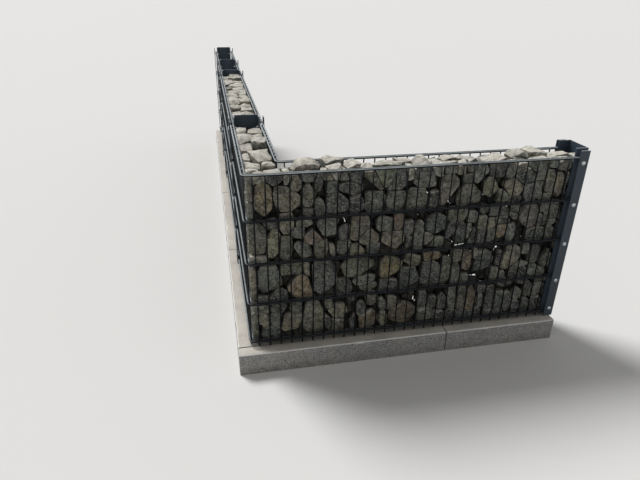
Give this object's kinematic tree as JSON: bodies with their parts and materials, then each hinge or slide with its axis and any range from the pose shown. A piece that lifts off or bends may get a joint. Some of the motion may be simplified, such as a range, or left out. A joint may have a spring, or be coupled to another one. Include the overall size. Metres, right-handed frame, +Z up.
{
  "type": "gabion wall",
  "caption": "L-shaped gabion fence wall: rubble fill between welded double-rod mats, U-section posts, clamp strips, granite kerb and concrete footing.",
  "frame": {"origin": "on the base plane, straight below the corner where the centre planes of the two outer mats meet", "axes": "+X along the front wing toward the house end, +Y along the side wing, +Z up; the front wing's outer side faces -Y"},
  "size_m": [1.589, 3.99, 0.98],
  "materials": {
    "mat_steel": "satin powder coat",
    "post_steel": "satin powder coat",
    "clamp_steel": "satin powder coat",
    "rubble": "rough broken stone",
    "granite_kerb": "sawn and flamed granite",
    "concrete": "cast concrete"
  },
  "bodies": {
    "root": {"front_fill": "rubble", "front_footing": "concrete", "front_inner_mat": "mat_steel", "front_kerb_1": "granite_kerb", "front_kerb_2": "granite_kerb", "front_outer_mat": "mat_steel", "front_uprights": "mat_steel", "inner_clamp_1": "clamp_steel", "inner_clamp_2": "clamp_steel", "inner_clamp_3": "clamp_steel", "inner_clamp_4": "clamp_steel", "inner_clamp_5": "clamp_steel", "outer_clamp_1": "clamp_steel", "outer_clamp_2": "clamp_steel", "outer_clamp_3": "clamp_steel", "outer_clamp_4": "clamp_steel", "outer_clamp_5": "clamp_steel", "post_1": "post_steel", "post_2": "post_steel", "post_3": "post_steel", "post_4": "post_steel", "post_5": "post_steel", "side_fill_1": "rubble", "side_fill_2": "rubble", "side_fill_3": "rubble", "side_fill_4": "rubble", "side_footing": "concrete", "side_inner_mat_1": "mat_steel", "side_inner_mat_2": "mat_steel", "side_inner_mat_3": "mat_steel", "side_inner_mat_4": "mat_steel", "side_kerb_1": "granite_kerb", "side_kerb_2": "granite_kerb", "side_kerb_3": "granite_kerb", "side_kerb_4": "granite_kerb", "side_outer_mat_1": "mat_steel", "side_outer_mat_2": "mat_steel", "side_outer_mat_3": "mat_steel", "side_outer_mat_4": "mat_steel", "side_uprights_1": "mat_steel", "side_uprights_2": "mat_steel", "side_uprights_3": "mat_steel", "side_uprights_4": "mat_steel"}
  },
  "joints": []
}
